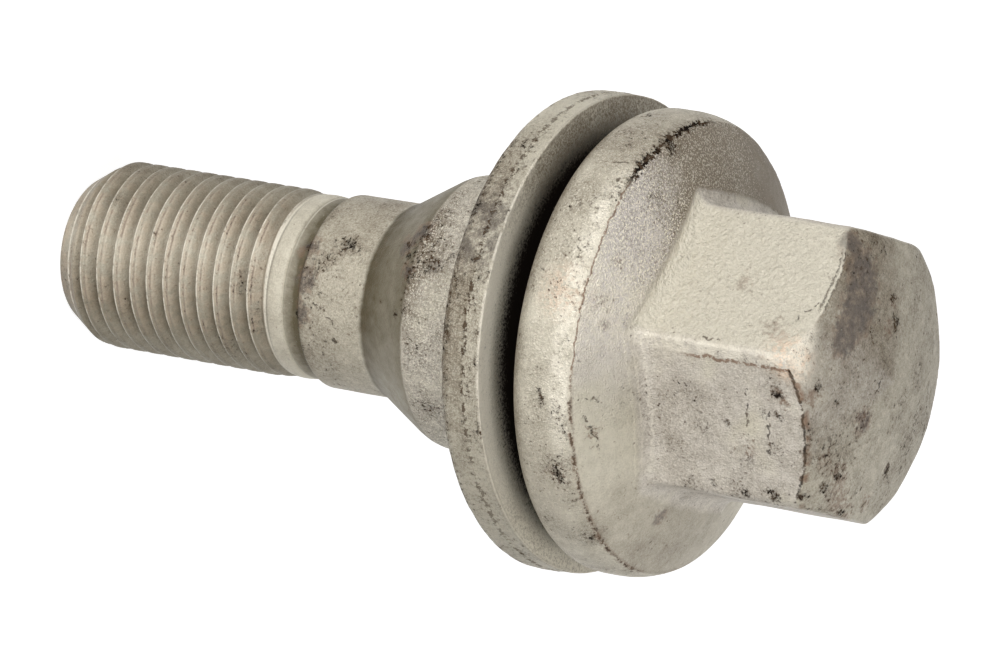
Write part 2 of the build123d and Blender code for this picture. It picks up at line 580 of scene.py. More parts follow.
def shaft_outline():
    """Outline from the ring over the thread up to the flange's crease."""
    corners = [
        # the ring's rolled edge
        (RELIEF_RADIUS + 0.05, RELIEF_TOP - 0.24, 0, 0.3),
        (RELIEF_RADIUS + 0.02, RELIEF_TOP - 0.16, 0.05, 0.3),
        (RELIEF_RADIUS - 0.06, RELIEF_TOP - 0.08, 0.04, 0.3),
        (RELIEF_RADIUS + 0.02, RELIEF_TOP + 0.02, 0.05, 0.3),
        # relief
        (RELIEF_RADIUS - 0.01, RELIEF_TOP + 0.16, 0.10, 0.3),
        (RELIEF_RADIUS - 0.16, SHANK_BOTTOM - 0.50, 0.30, 0.25),
        (RELIEF_RADIUS - 0.16, SHANK_BOTTOM - 0.12, 0.30, 0.25),
        # shank, cone and shoulder
        (SHANK_RADIUS, SHANK_BOTTOM + 0.24, 0.22, 0.45),
        (SHANK_RADIUS, SHANK_TOP, CONE_FOOT_ROUNDING, 0.5),
        (SHOULDER_RADIUS, SHOULDER_BOTTOM, CONE_TOP_ROUNDING, 0.5),
        (SHOULDER_RADIUS, SHOULDER_TOP, 0.10, 0.3),
        # lip, neck and flange
        (LIP_RADIUS, SHOULDER_TOP + LIP_RADIUS - SHOULDER_RADIUS, 0.12, 0.4),
        (LIP_RADIUS, LIP_TOP, 0.10, 0.5),
        (NECK_RADIUS, LIP_TOP, 0.15, 1.7),
        (NECK_RADIUS, FLANGE_BOTTOM, 0.20, 1.5),
        (FLANGE_RADIUS, FLANGE_BOTTOM, FLANGE_UNDERSIDE_ROUNDING, 0.4),
        (FLANGE_RADIUS, BROW_BOTTOM, 0, 0.4),
    ]
    points = rounded_outline(corners)
    inset = FLANGE_RADIUS - CREASE_RADIUS
    brow_radius = (inset**2 + (CREASE_HEIGHT - BROW_BOTTOM) ** 2) / (2 * inset)
    brow = np.linspace(BROW_BOTTOM, CREASE_HEIGHT - 0.35, 5)[1:]
    near_crease = np.linspace(CREASE_HEIGHT - 0.28, CREASE_HEIGHT, 5)
    for height in (*brow, *near_crease):
        inward = brow_radius - sqrt(brow_radius**2 - (height - BROW_BOTTOM) ** 2)
        points.append((FLANGE_RADIUS - inward, height))
    return points


def head_rows(shape, turns):
    """Rows over the flange's dome, up the hexagon and over the crown."""
    rounding = shape.corner_rounding / MM
    edge = shape.edge_rounding / MM
    foot_radius = hexagon_radius(turns, CREASE_HEIGHT, rounding)
    foot_height = dome_height(foot_radius)
    root_radius = foot_radius + HEX_ROOT_ROUNDING
    root_start = (root_radius, dome_height(root_radius))
    root_end = (foot_radius, foot_height + HEX_ROOT_ROUNDING)
    side_radius = hexagon_radius(turns, CHAMFER_BOTTOM, rounding)
    side_top = crown_height(side_radius) - edge
    radii, heights = [], []

    def add(radius, height):
        radii.append(np.atleast_2d(radius + 0 * turns))
        heights.append(np.atleast_2d(height + 0 * turns))

    crease_steps = np.array([0.07, 0.14, 0.21, 0.30])[:, None]
    add(CREASE_RADIUS - crease_steps, dome_height(CREASE_RADIUS - crease_steps))
    shares = np.linspace(0, 1, DOME_ROWS + 1)[1:, None]
    dome_radii = (CREASE_RADIUS - crease_steps[-1]) * (1 - shares) + root_radius * shares
    add(dome_radii, dome_height(dome_radii))
    add(*bent(root_start, (foot_radius, foot_height), root_end, ROOT_ROWS))
    shares = np.linspace(0, 1, SIDE_ROWS)[:, None]
    side_heights = root_end[1] * (1 - shares) + side_top * shares
    add(hexagon_radius(turns, side_heights, rounding), side_heights)
    edge_start = (side_radius, side_top)
    edge_end = (side_radius - edge, crown_height(side_radius - edge))
    add(*bent(edge_start, (side_radius, crown_height(side_radius)), edge_end, EDGE_ROWS))
    rim_shares = [0, 0.03, 0.06, 0.09, 0.12, 0.155]
    inward = np.array([*rim_shares, *np.linspace(0.2, 0.97, CROWN_ROWS)])[:, None]
    crown_radii = edge_end[0] * (1 - inward)
    add(crown_radii, crown_height(crown_radii))
    return np.concatenate(radii), np.concatenate(heights)


def bolt_grid(shape):
    """Points of the whole bolt, with how hollow the thread is at each."""
    turns = corner_columns()[None, :]
    point_radius = THREAD_RADIUS - POINT_LENGTH * tan(POINT_ANGLE)
    end_corners = [
        (1.2, 0, 0, 1.2),
        (point_radius, 0, END_EDGE_ROUNDING, 0.3),
        (point_radius + END_EDGE_TOP * tan(POINT_ANGLE), END_EDGE_TOP, 0, 0.3),
    ]
    end = np.array(rounded_outline(end_corners))
    shaft = np.array(shaft_outline())
    thread_radius, thread_height, thread_hollow = thread_rows(shape, turns)
    head_radius, head_height = head_rows(shape, turns)
    level = 0 * turns
    radius = np.concatenate([end[:, :1] + level, thread_radius, shaft[:, :1] + level, head_radius])
    height = np.concatenate([end[:, 1:] + level, thread_height, shaft[:, 1:] + level, head_height])
    hollow = np.zeros_like(radius)
    hollow[len(end) : len(end) + len(thread_hollow)] = thread_hollow
    return placed(radius, height, turns), hollow


def forged(ground, shape):
    """Points with the forging crease pressed in and the slow unevenness of a forging."""
    points = ground.points
    torn = ground.side(-119, 21, 6) + 0.35 * ground.side(-10, 34, 6) + 0.5 * ground.side(140, 60, 6)
    wander = ground.past_crease + 0.25 * waves(points, 1.5, 3, 5.3)
    crease = np.exp(-((wander / 0.16) ** 2)) * torn
    on_head = ramp(ground.height, 43.2, 45.0)
    uneven = waves(points, 3.2, 3) * shape.unevenness / MM * (on_head + 0.35 * ground.band(19, 32.4))
    lift = uneven - crease * shape.crease_depth / MM
    lift[0] = 0
    lift[-1] = lift[-1].mean()
    inside = np.minimum(lift, 0) + np.maximum(lift, 0) * (ground.height < CROWN_TOP - 1)
    return points + grid_normals(points) * inside[..., None]


class WHEELBOLT_OT_bolt(bpy.types.Operator):
    """Build the bolt: threaded end, shank, cone, shoulder, flange and hexagonal head"""

    bl_idname = "wheelbolt.bolt"
    bl_label = "Bolt"

    def execute(self, context):
        shape = context.scene.wheelbolt_shape
        points, hollow = bolt_grid(shape)
        ground = BoltGround(points, hollow, shape.corner_rounding / MM)
        points = forged(ground, shape)
        poles = [(0, 0, 0), (0, 0, points[-1, :, 2].mean() + 0.001)]
        mesh = grid_mesh("bolt_forging", points, bolt_paint(ground), poles)
        material = BoltCoating(context.scene.wheelbolt_coating, shape).material()
        add_piece("bolt_forging", mesh, "bolt", "bolt", material)
        return {"FINISHED"}


# ---------------------------------------------------------------- the washer


def washer_outline(shape):
    """Closed section of the washer, anticlockwise from the bore, round its own middle height."""
    half = WASHER_HALF
    rim = WASHER_HIGH.x - half * sin(shape.lean)
    inset_rim = rim - shape.break_step / MM
    break_bottom = half - shape.break_width / MM
    bore = WASHER_BORE_RADIUS
    corners = [
        (bore, half - 0.69, 0, 0.5),
        (bore, -half, 0.30, 0.5),
        (rim, -half, shape.edge_roll / MM, 0.12),
        (rim, break_bottom, 0.04, 0.08),
        (inset_rim, break_bottom + 0.10, 0.04, 0.12),
        (inset_rim, half, shape.edge_rounding / MM, 0.35),
        (bore, half, 0.25, 0.3),
        (bore, half - 0.7, 0, 0.3),
    ]
    return rounded_outline(corners)[:-1]


def washer_grid(shape, columns=360):
    """Points of the washer leaning on the neck, and their heights from its own middle."""
    turns = np.linspace(-pi, pi, columns + 1)[None, :-1]
    outline = np.array(washer_outline(shape))
    flat = placed(outline[:, :1] + 0 * turns, outline[:, 1:] + 0 * turns, turns)
    on_rim = ramp(np.linalg.norm(flat[..., :2], axis=-1), 13.4, 14.2)
    lift = -np.abs(waves(flat, 1.6, 3, 9.1)) * 0.05 * on_rim
    flat = flat + grid_normals(flat, closed_rows=True) * lift[..., None]
    lean = np.array(Matrix.Rotation(shape.lean, 3, "X"))
    return flat @ lean.T + np.array([0, 0, WASHER_MIDDLE]), flat[..., 2]


class WHEELBOLT_OT_washer(bpy.types.Operator):
    """Build the loose washer between the shoulder and the flange"""

    bl_idname = "wheelbolt.washer"
    bl_label = "Washer"

    def execute(self, context):
        shape = context.scene.wheelbolt_washer
        points, across = washer_grid(shape)
        mesh = grid_mesh("pressed_washer", points, washer_paint(Ground(points), across))
        material = WasherCoating(context.scene.wheelbolt_coating, shape).material()
        add_piece("pressed_washer", mesh, "washer", "captive_washer", material)
        return {"FINISHED"}


# ---------------------------------------------------------------- coatings


class Surface(NodeTree):
    """A flake coating: its place on the piece in millimetres, and the noises that its layers share."""

    def __init__(self, name, look):
        super().__init__(bpy.data.materials.new(name))
        self.look = look
        self.paint = MeshNumbers(self)
        metres = self.node("ShaderNodeTexCoord", {}, {}, "Object")
        self.place = self.vector("SCALE", metres, Scale=1 / MM)
        self.height = self.along("Z")
        self.fine = self.grain(self.place, 6.0, 2.0, 0.6)
        self.crumbs = self.grain(self.place, 3.6, 3.0, 0.7)
        self.curls = self.grain(self.place, 1.9, 4.0, 0.6)
        self.grit = self.grain(self.place, 9.0, 2.0, 0.6)
        self.mottle = self.grain(self.place, 1.3, 3.0, 0.65)
        self.cloud = self.grain(self.place, 0.33, 2.0, 0.5)
        self.uneven = self.mottle.sway(2.2) + self.crumbs.sway(1.5)

    def vector(self, operation, *inputs, **named):
        """A Vector Math node; its result is a number for a distance or a dot product."""
        output = "Value" if operation in ("DISTANCE", "DOT_PRODUCT") else "Vector"
        given = {**dict(enumerate(inputs)), **named}
        return self.node("ShaderNodeVectorMath", {"operation": operation}, given, output)

    def along(self, axis):
        """Place along an axis, in millimetres."""
        return self.node("ShaderNodeSeparateXYZ", {}, {0: self.place}, axis)

    def turn(self):
        """Turns round the axis, from -0.5 to 0.5 with 0 at +X."""
        return self.math("ARCTAN2", self.along("Y"), self.along("X")) / (2 * pi)

    def lines(self, courses, width, drift=0.8):
        """1 on each line between two places, (turn, radius, height) each, and 0 at width from it."""
        inputs = {"Vector": self.place, "Scale": 1.8, "Detail": 2.0}
        push = self.node("ShaderNodeTexNoise", {}, inputs, "Color")
        adrift = self.vector("MULTIPLY_ADD", push, (drift,) * 3, self.place)
        total = 0
        for start, end in courses:
            origin = on_surface(*start)
            run = on_surface(*end) - origin
            offset = self.vector("SUBTRACT", adrift, origin + Vector((drift,) * 3) / 2)
            along = self.vector("DOT_PRODUCT", offset, run / run.length_squared)
            nearest = self.vector("SCALE", run, Scale=self.node("ShaderNodeClamp", {}, {0: along}))
            total = total + self.vector("DISTANCE", offset, nearest).ramp(width, width * 0.3)
        return total

    def sparks(self, amount):
        """Bright flakes, partly painted glints; amount runs from 0 for none to 1 for nearly everywhere."""
        return (self.grit - 0.82 + amount * 0.42).ramp(-0.05, 0.05)

    def crumbled(self, soil):
        """Dirt in crumbs with a faint halo, and a few curly threads of it."""
        soil = soil + (self.cloud - 0.45) * 0.8
        over = self.crumbs - 0.80 + soil * 0.42
        crumb = over.ramp(-0.02, 0.03) * (0.5 + 0.5 * self.fine.ramp(0.4, 0.6))
        halo = over.ramp(-0.15, 0.02) * 0.28
        curl = (abs(self.curls - 0.5) - soil * 0.035).ramp(0.012, -0.012) * soil.ramp(0.1, 0.5)
        return self.largest(crumb, halo, curl * self.fine.ramp(0.42, 0.6) * 0.55)

    def close(self, colour, roughness, metallic, relief, dirt, dusty):
        """Metal flake with a relief in millimetres, under a lustreless layer of dirt and painted shade that
        is black, and brown where dusty.
        """
        bump = self.node("ShaderNodeBump", {}, {"Strength": 1.0, "Distance": MM, "Height": relief})
        inputs = {"Base Color": colour, "Roughness": roughness, "Metallic": metallic, "Normal": bump}
        flake = self.node("ShaderNodeBsdfPrincipled", {}, inputs)
        black = self.node("ShaderNodeBsdfDiffuse", {}, {"Color": self.look.grime_and_shade})
        brown = self.node("ShaderNodeBsdfDiffuse", {}, {"Color": self.look.dust})
        dusted = self.curls.ramp(0.42, 0.58) * dusty
        soil = self.node("ShaderNodeMixShader", {}, {0: dusted, 1: black, 2: brown})
        surface = self.node("ShaderNodeMixShader", {}, {0: dirt, 1: flake, 2: soil})
        self.node("ShaderNodeOutputMaterial", {}, {"Surface": surface})
        return self.holder


# Patches of dirt on the bolt: turn, radius, height and reach
BOLT_PATCHES = (
    # end of the head
    (-50, 7.6, 56.1, 0.5), (-136, 4.9, 56.7, 0.6), (-140, 3.4, 56.9, 1.0), (57, 5.6, 56.5, 0.7),
    (-13, 3.6, 56.9, 0.8), (-128, 8.9, 55.5, 1.2), (-30, 8.2, 55.9, 0.9),
    # flats
    (-88, 8.5, 50.1, 0.9), (-71, 9.0, 53.1, 1.0), (-46, 8.8, 54.1, 0.8), (-37, 8.6, 54.8, 0.7),
    (-38, 8.6, 48.7, 1.3), (-30, 8.5, 51.8, 1.2), (-20, 8.6, 53.5, 1.2), (-2, 9.6, 48.0, 1.0),
    (-3, 9.5, 50.8, 1.3), (-2, 9.6, 53.5, 1.5), (-76, 8.8, 54.4, 0.9), (-25, 8.6, 48.8, 1.2),
    (-56, 9.2, 52.0, 0.9), (-56, 9.2, 53.8, 0.9), (-57, 9.3, 50.0, 0.7), (-14, 8.8, 51.9, 1.3),
    # dome and rim
    (-103, 11.5, 44.2, 1.6), (-78, 12.4, 43.8, 0.8), (-73, 10.9, 44.5, 0.6), (-66, 12.4, 43.7, 1.0),
    (-62, 13.4, 43.2, 0.9), (-49, 10.1, 44.8, 0.6), (-29, 12.5, 43.7, 0.8), (-35, 14.1, 42.5, 1.4),
    (-20, 14.2, 41.8, 1.2), (-13, 14.1, 42.2, 1.2), (-66, 14.3, 41.0, 0.6), (-46, 14.3, 41.0, 0.9),
    (-40, 14.3, 41.0, 0.9), (-76, 14.3, 41.6, 1.5), (-118, 13.5, 43.2, 1.6), (-127, 13.6, 43.2, 1.2),
    (2, 14.0, 42.6, 1.5), (-107, 13.9, 42.9, 0.9), (-95, 13.9, 42.9, 0.9),
    # shaft
    (-80, 6.0, 18.8, 0.8), (-38, 6.1, 18.9, 0.7), (-15, 6.1, 19.0, 0.9), (-86, 6.1, 21.5, 1.1),
    (-77, 6.1, 20.9, 0.8), (-70, 6.1, 19.8, 1.0), (-73, 7.1, 25.3, 0.5), (-64, 7.2, 25.4, 0.5),
    (-56, 7.6, 26.1, 0.5), (-52, 8.1, 27.0, 0.7), (-81, 8.0, 26.8, 1.1), (-86, 8.5, 27.7, 1.2),
    (-70, 8.5, 27.8, 1.0), (-52, 8.5, 28.2, 0.9), (-73, 8.6, 29.3, 1.2), (-96, 8.6, 28.4, 1.2),
    (-51, 8.6, 29.3, 0.8), (-38, 8.6, 28.9, 1.0), (-12, 8.6, 29.1, 1.2), (-71, 5.9, 7.5, 0.6),
    (-91, 5.9, 3.7, 0.8), (-30, 5.7, 15.8, 1.6), (0, 5.8, 13.0, 2.2), (-50, 5.8, 14.4, 1.2),
)

# Soft dark smudges on the bolt: turn, radius, height and reach
BOLT_SMUDGES = (
    (-113, 7.6, 56.0, 2.1), (-103, 6.2, 56.4, 2.1), (-88, 6.2, 56.4, 1.9), (-74, 6.2, 56.4, 1.3),
    (17, 10.7, 44.6, 0.7), (-13, 3.6, 56.9, 1.0), (-80, 6.0, 18.7, 1.1), (-60, 6.1, 19.0, 1.3),
    (-40, 6.1, 19.0, 1.1), (-82, 8.0, 26.8, 1.1), (-88, 8.5, 27.7, 1.0), (-70, 8.4, 27.6, 0.8),
    (-60, 12.2, 43.9, 0.5), (-46, 8.8, 54.1, 0.5), (-116, 9.3, 55.2, 1.0),
)

# Brown blotches on the bolt: turn, radius, height and reach
BOLT_BLOTCHES = (
    (-88, 8.5, 50.1, 1.0), (-71, 9.0, 53.1, 1.1), (-67, 9.2, 54.1, 0.8), (-46, 8.85, 54.1, 0.8),
    (-42, 8.7, 54.6, 0.5), (-20, 8.6, 51.9, 0.8), (2, 6.8, 56.3, 1.4), (14, 7.8, 56.0, 1.5),
    (40, 7.3, 56.1, 1.0), (-13, 3.6, 56.9, 1.2), (-12, 7.3, 56.1, 1.1), (-124, 3.4, 56.9, 0.9),
    (-136, 4.9, 56.7, 0.7), (57, 5.6, 56.5, 0.8), (25, 8.5, 55.8, 1.5), (-46, 8.0, 56.0, 1.0),
    (-78, 12.4, 43.8, 0.8), (-66, 12.4, 43.7, 1.0), (-29, 12.5, 43.7, 0.9), (-20, 14.2, 41.8, 1.1),
)

# Black pits on the bolt: turn, radius, height and reach
BOLT_PITS = (
    (-80, 5.7, 18.5, 0.5), (-84, 5.7, 18.4, 0.35), (-38, 5.7, 18.5, 0.45), (-33, 5.8, 18.7, 0.4),
    (-82, 8.05, 26.9, 0.5), (-77, 8.2, 27.2, 0.45), (-72, 8.1, 27.1, 0.3), (-73, 8.6, 29.3, 0.6),
    (-55, 7.4, 25.7, 0.3), (-60, 7.3, 25.4, 0.25), (-51, 8.3, 27.3, 0.35), (-46, 8.85, 54.1, 0.3),
    (-118, 13.5, 43.2, 0.6), (-29, 12.5, 43.7, 0.35), (-86, 6.1, 21.5, 0.5), (-42, 8.7, 54.7, 0.2),
    (-20, 14.2, 41.9, 0.4), (-40, 14.25, 41.2, 0.35), (-128, 14.2, 40.5, 0.5), (-31, 13.9, 42.6, 0.4),
    (-3, 9.6, 53.4, 0.6), (-2, 9.6, 51.5, 0.4), (-4, 9.5, 49.2, 0.35), (-3, 9.2, 55.2, 0.4),
    (-139, 3.5, 56.9, 0.4), (-136, 5.0, 56.7, 0.4), (57, 5.7, 56.5, 0.45), (-50, 7.6, 56.1, 0.4),
    (-40, 5.8, 56.5, 0.35), (0, 8.1, 55.9, 0.5), (3, 6.8, 56.3, 0.4), (22, 8.3, 55.9, 0.5),
    (-37, 8.6, 54.0, 0.35), (-37, 8.6, 53.1, 0.3), (-24, 8.6, 53.9, 0.35), (-30, 8.5, 50.6, 0.3),
)

# Fine cracks and scratches on the bolt, each from one place to another
BOLT_CRACKS = (
    ((-61.5, 9.6, 47.0), (-62, 9.6, 50.0)),
    ((-76, 8.8, 54.4), (-84, 8.5, 55.3)),
    ((-38, 8.6, 53.4), (-19, 8.7, 53.3)),
    ((-46, 8.9, 52.0), (-14, 8.9, 51.9)),
    ((113, 4.9, 56.7), (100, 4.7, 56.7)),
    ((-139, 3.3, 56.9), (-133, 4.1, 56.9)),
    ((-164, 7.4, 56.1), (-161, 7.7, 56.1)),
    ((127, 6.1, 56.4), (121, 6.2, 56.4)),
    ((58, 5.5, 56.5), (54, 6.2, 56.4)),
    ((-10, 7.0, 56.2), (-9, 7.7, 56.1)),
    ((41, 7.2, 56.2), (38, 7.7, 56.1)),
    ((-35, 2.1, 57.0), (-60, 1.5, 57.1)),
    ((-40, 13.8, 43.1), (-39, 12.0, 44.0)),
    ((-35, 13.1, 43.5), (-29, 12.5, 43.7)),
    ((-29, 12.5, 43.7), (-23, 12.2, 43.9)),
    ((-101, 14.3, 41.0), (-104, 14.1, 42.2)),
    ((-97, 14.2, 42.0), (-99, 13.9, 42.8)),
    ((-126, 14.3, 40.2), (-129, 14.3, 40.8)),
    ((-47, 6.1, 19.8), (-44, 6.1, 20.4)),
    ((-43, 6.1, 20.7), (-35, 6.1, 21.6)),
    ((-25, 6.1, 20.8), (-26, 6.1, 21.7)),
    ((-75, 8.6, 29.8), (-82, 8.6, 30.8)),
)

# Warm-coloured places on the bolt, partly a painted warm highlight on the lit corner and the brow: turn,
# radius, height and reach
WARM_PLACES = ((-61, 9.6, 54.6, 1.8), (-59, 9.3, 55.2, 1.6), (-66, 14.2, 42.0, 2.2))

# Chips and dirt on the washer: turn, radius, height and reach
WASHER_PATCHES = (
    (-42, 14.8, 35.1, 0.6), (-76, 14.8, 35.9, 0.7), (-73, 14.8, 36.1, 0.6), (-70, 14.8, 35.8, 0.7),
    (-65, 14.8, 36.2, 0.8), (-60, 14.8, 36.4, 0.7), (-70, 13.9, 36.9, 0.4), (-39, 14.8, 36.3, 0.9),
    (-29, 14.8, 37.0, 0.5), (-95, 14.8, 35.9, 0.8), (-52, 14.8, 34.4, 0.9), (-102, 14.8, 35.6, 1.0),
    (-66, 14.8, 36.8, 0.5), (-59, 14.8, 36.9, 0.4), (-53, 14.8, 36.9, 0.5), (-46, 14.8, 36.9, 0.6),
)


class BoltGround(Ground):
    """The bolt's surface with its areas; each is 1 on the area and 0 off it."""

    def __init__(self, points, hollow, corner_rounding):
        super().__init__(points, corner_rounding)
        self.hollow = hollow
        self.patch = np.minimum(self.patches(BOLT_PATCHES), 1.2)
        self.threaded = self.band(-1, 16.1)
        self.shank = self.band(18.8, 23.4)
        self.shoulder = self.band(27.9, 33.0)
        self.rim = self.band(38.6, 43.0)
        self.brow = self.band(41.8, 42.95, 0.35)
        self.dome = ramp(self.past_crease, -0.1, 0.1) * ramp(self.from_root, -0.05, 0.2)
        self.end_face = ramp(self.past_end, -0.05, 0.15)
        self.flats = self.band(44.5, 60) * (1 - ramp(self.past_end, -0.05, 0.1)) * (1 - self.dome)
        self.side_flats = self.flats * (1 - self.side(-90, 29, 2))
        self.torn = self.side(-119, 21, 3)
        self.far_side = self.side(-158, 70, 25)
        self.under_side = self.side(20, 60, 25)
        self.off_side = 1 - self.side(-62, 50, 25)


def bolt_wear_and_shade(on):
    """How thin the coating is, with painted shade: darker on the far and under sides of the thread, shank,
    rim and dome, and on the flange's rim by the gap beneath it.
    """
    side = on.side
    wear = 0.34 * on.shank + 0.46 * on.shoulder + 0.3 * (on.rim + on.threaded) + 0.2 * on.side_flats
    wear += 0.14 * on.patch + 0.12 * on.band(16.2, 17.3)
    wear += on.end_face * (0.5 + 0.3 * side(-110, 35, 20) - 0.1 * side(20, 50, 25))
    wear += on.dome * (0.2 * side(-90, 35, 20) + 0.08 * side(-112, 18, 14))
    # Painted shade: the dome darker on its far side and its lower side
    wear += on.dome * (1.12 * side(-165, 52, 25) + 0.5 * side(30, 40, 25))
    wear += 0.10 * on.shoulder * (side(-75, 25, 20) - side(-15, 30, 20))
    # Painted shade: darker on the far and under sides, away from the light
    wear += (on.threaded + on.shank + on.rim) * (0.3 * on.far_side + 0.1 * on.under_side)
    # Painted shade: the flange's rim darker next to the gap beneath it
    wear += 0.35 * on.band(38.2, 39.6, 0.4) * (on.radius > 13) * side(-90, 80, 30)
    wear += 0.35 * on.band(27.3, 28.8, 0.5) * side(-80, 35, 20)
    return wear - 0.05 * on.rim * side(-25, 35, 15) - 0.2 * on.hollow * on.off_side


def bolt_film_and_shade(on):
    """How much brown layer of oil and dust there is, with painted shade: on the thread's far and under
    sides and in its hollows on the near side, on the under sides of the dome, shank and shoulder, and
    partly in the recess.
    """
    # The recess over the shank's foot: brown dirt, and painted shade of its groove
    recess = on.band(17.5, 18.92, 0.30) * (0.8 + 0.2 * ramp(on.height, 17.6, 18.4))
    film_and_shade = 0.9 * recess + 0.15 * on.band(18.1, 18.85, 0.1) + 0.14 * on.end_face
    # Painted shade: the thread darker on its under and far sides
    film_and_shade += on.threaded * (0.12 + 0.5 * on.under_side + 0.28 * on.far_side)
    # Painted shade in the thread's hollows on the near side, lighter on the other sides
    film_and_shade += on.hollow * (0.3 - 0.42 * on.off_side)
    # Painted shade: the dome's under and far sides
    film_and_shade += on.dome * (0.08 * on.under_side + 0.06 * on.far_side)
    return film_and_shade + 0.08 * (on.shoulder + on.shank) * on.under_side


def bolt_soil(on):
    """How much dirt there is."""
    side = on.side
    soil = 0.34 * on.shoulder + 0.26 * on.shank + 0.31 * on.end_face + 0.16 * on.threaded
    soil += 0.2 * on.side_flats + 0.12 * on.dome + 0.12 * on.brow * side(-60, 45, 20)
    soil += on.rim * (0.28 - 0.08 * side(-25, 35, 15))
    soil += 0.3 * on.torn * (1 - ramp(np.abs(on.past_crease), 0.2, 0.7))
    soil += 0.34 * on.band(27.3, 28.0) * side(-72, 24, 10)
    soil += 0.34 * on.band(18.5, 18.9, 0.12) * side(-58, 42, 15)
    return soil + 0.21 * on.patch + 0.75 * np.minimum(on.patches(BOLT_PITS), 1)


def bolt_highlight_amount(on):
    """How much painted highlight there is: on the brow and the dome beside it, the end's edge, the strip by
    the lit corner, the upper flat and the root of the upper flat.
    """
    side = on.side
    strip = 1 - ramp(np.abs(on.from_corner - 0.3), 0.3, 0.5)
    root = 1 - ramp(np.abs(on.from_root + 0.35), 0.12, 0.3)
    shine = 0.75 * on.brow * side(-64, 36, 12) + 0.55 * on.dome * side(-64, 12, 10)
    shine += 0.7 * on.end_face * side(-62, 12, 5) * ramp(on.radius, 7.8, 8.8)
    # Painted highlight on the lit corner's strip and over the upper flat
    shine += 0.6 * on.flats * strip * side(-60, 12, 2) + 0.3 * (on.flats - on.side_flats)
    return shine + 0.25 * root * side(-90, 27, 4)


def bolt_grain(on):
    """How far the coating breaks up into fine grains."""
    side = on.side
    grain = on.dome * (side(-85, 26, 20) + 0.2 * side(-88, 22, 12)) + 0.6 * on.shoulder
    grain += 0.3 * (0.6 * on.end_face + on.side_flats + on.shank)
    return grain + on.rim * (0.12 + 0.3 * side(-75, 35, 20))


def bolt_paint(on):
    """Numbers for the bolt's coating at each of its points, with its painted light and shade."""
    side = on.side
    sparkle = 0.44 * on.dome * side(-105, 60, 20) + 0.42 * on.shoulder + 0.36 * on.rim + 0.1 * on.shank
    bare = on.dome * side(-95, 48, 18) + 0.5 * on.side_flats
    bare += 0.35 * on.shoulder * side(-60, 60, 20) + 0.45 * on.end_face * side(-60, 35, 15)
    grit = 0.09 * on.dome * side(-100, 75, 15) + 0.10 * on.shoulder + 0.05 * on.rim + 0.02 * on.side_flats
    return dict(
        wear=bolt_wear_and_shade(on),
        film_and_shade=bolt_film_and_shade(on),
        soil=bolt_soil(on),
        shine=bolt_highlight_amount(on),
        grainy=bolt_grain(on),
        sparkle=0.2 + sparkle,
        bare=bare,
        grit=0.06 + grit,
        bumps=0.02 + 0.27 * on.flats - 0.23 * on.side_flats,
        varied=0.6 + 0.45 * on.end_face + 0.55 * on.side_flats + 1.1 * on.shoulder + 0.6 * on.rim,
        smudge=np.minimum(on.patches(BOLT_SMUDGES), 1),
        blotch=np.minimum(on.patches(BOLT_BLOTCHES), 1),
        glow=on.patches(WARM_PLACES),
        by_root=(1 - ramp(on.from_root, 0.1, 1.7)) * side(-92, 30, 6),
        hollow=on.hollow,
        from_root=on.from_root,
        from_corner=on.from_corner,
        past_crease=on.past_crease,
        past_end=on.past_end,
        near_side=side(-60, 50, 25),
        far_side=on.far_side,
        lower_side=side(20, 45, 25),
        lit_corner=side(-60, 12, 2),
        torn=on.torn,
        stained=side(-8, 35, 5),
        fine_crease=side(-72, 27, 3),
        cracked=side(-28, 30, 4),
        ridged=side(-95, 17, 3),
        scuffed=side(-32, 26, 4) * ramp(on.height, 43, 44),
    )


